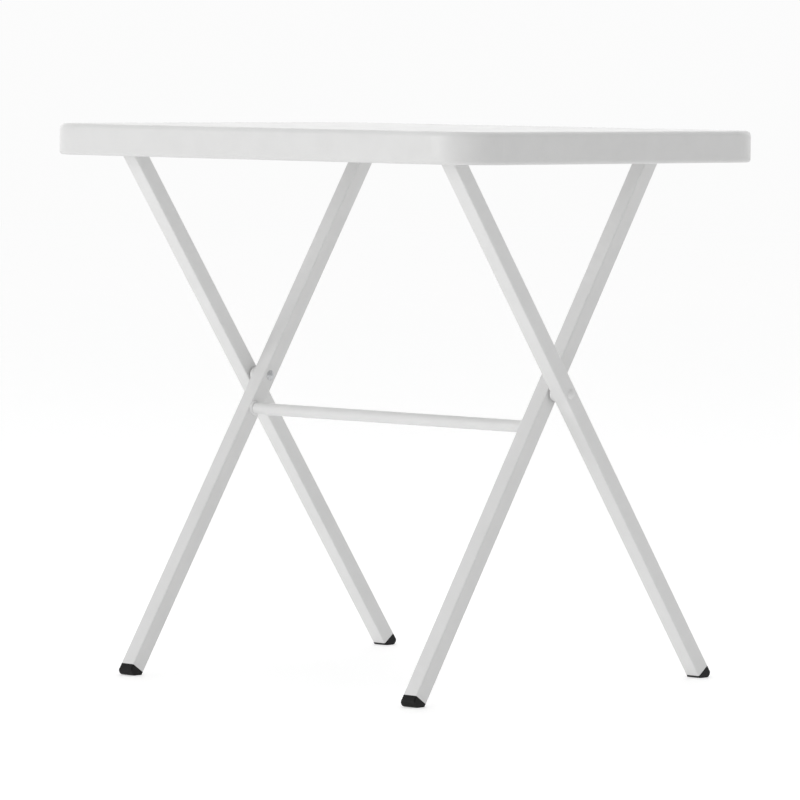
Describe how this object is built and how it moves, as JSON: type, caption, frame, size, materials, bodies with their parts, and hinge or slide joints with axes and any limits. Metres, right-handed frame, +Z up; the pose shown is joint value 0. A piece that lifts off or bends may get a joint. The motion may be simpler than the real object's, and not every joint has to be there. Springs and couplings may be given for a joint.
{
  "type": "folding table",
  "caption": "Small rectangular folding table: hollow moulded top on two crossed pairs of square steel legs that fold flat under it.",
  "frame": {"origin": "on the floor, under the middle of the tabletop", "axes": "+X along the crossbar and the tabletop's length, +Y across the depth, in the plane of the crossed legs, towards the feet of the outer legs, +Z up"},
  "size_m": [0.768, 0.612, 0.74],
  "materials": {
    "moulded_top": "fine stippled satin, faintly mottled",
    "coated_steel": "smooth satin powder coat",
    "foot_plastic": "satin moulded",
    "zinc_steel": "bright zinc plate",
    "grey_plastic": "satin moulded"
  },
  "bodies": {
    "tabletop": {"tabletop": "moulded_top", "hinge_bracket_left": "zinc_steel", "hinge_bracket_right": "zinc_steel", "hinge_bracket_screws": "zinc_steel", "catch_clip_left": "grey_plastic", "catch_clip_right": "grey_plastic", "catch_clip_screws": "zinc_steel"},
    "outer_frame": {"outer_leg_left": "coated_steel", "outer_leg_right": "coated_steel", "outer_top_tube": "coated_steel", "outer_foot_left": "foot_plastic", "outer_foot_right": "foot_plastic", "outer_leg_plug_left": "foot_plastic", "outer_leg_plug_right": "foot_plastic", "pivot_bolt_left": "coated_steel", "pivot_bolt_right": "coated_steel", "pivot_nut_left": "zinc_steel", "pivot_nut_right": "zinc_steel", "pivot_spacer_left": "coated_steel", "pivot_spacer_right": "coated_steel"},
    "inner_frame": {"inner_leg_left": "coated_steel", "inner_leg_right": "coated_steel", "inner_top_tube": "coated_steel", "inner_crossbar": "coated_steel", "inner_foot_left": "foot_plastic", "inner_foot_right": "foot_plastic", "inner_leg_plug_left": "foot_plastic", "inner_leg_plug_right": "foot_plastic"}
  },
  "joints": [
    {"name": "leg_fold", "type": "hinge", "parent": "tabletop", "child": "outer_frame", "pos_m": [0, -0.228, 0.706], "axis": [1, 0, 0], "range_deg": [0, 50.5]},
    {"name": "cross_pivot", "type": "hinge", "parent": "outer_frame", "child": "inner_frame", "pos_m": [0, 0.002, 0.395], "axis": [1, 0, 0], "range_deg": [-107.1, 0]}
  ],
  "couplings": [
    {"joint": "cross_pivot", "follows": "leg_fold", "ratio": -2.12}
  ]
}
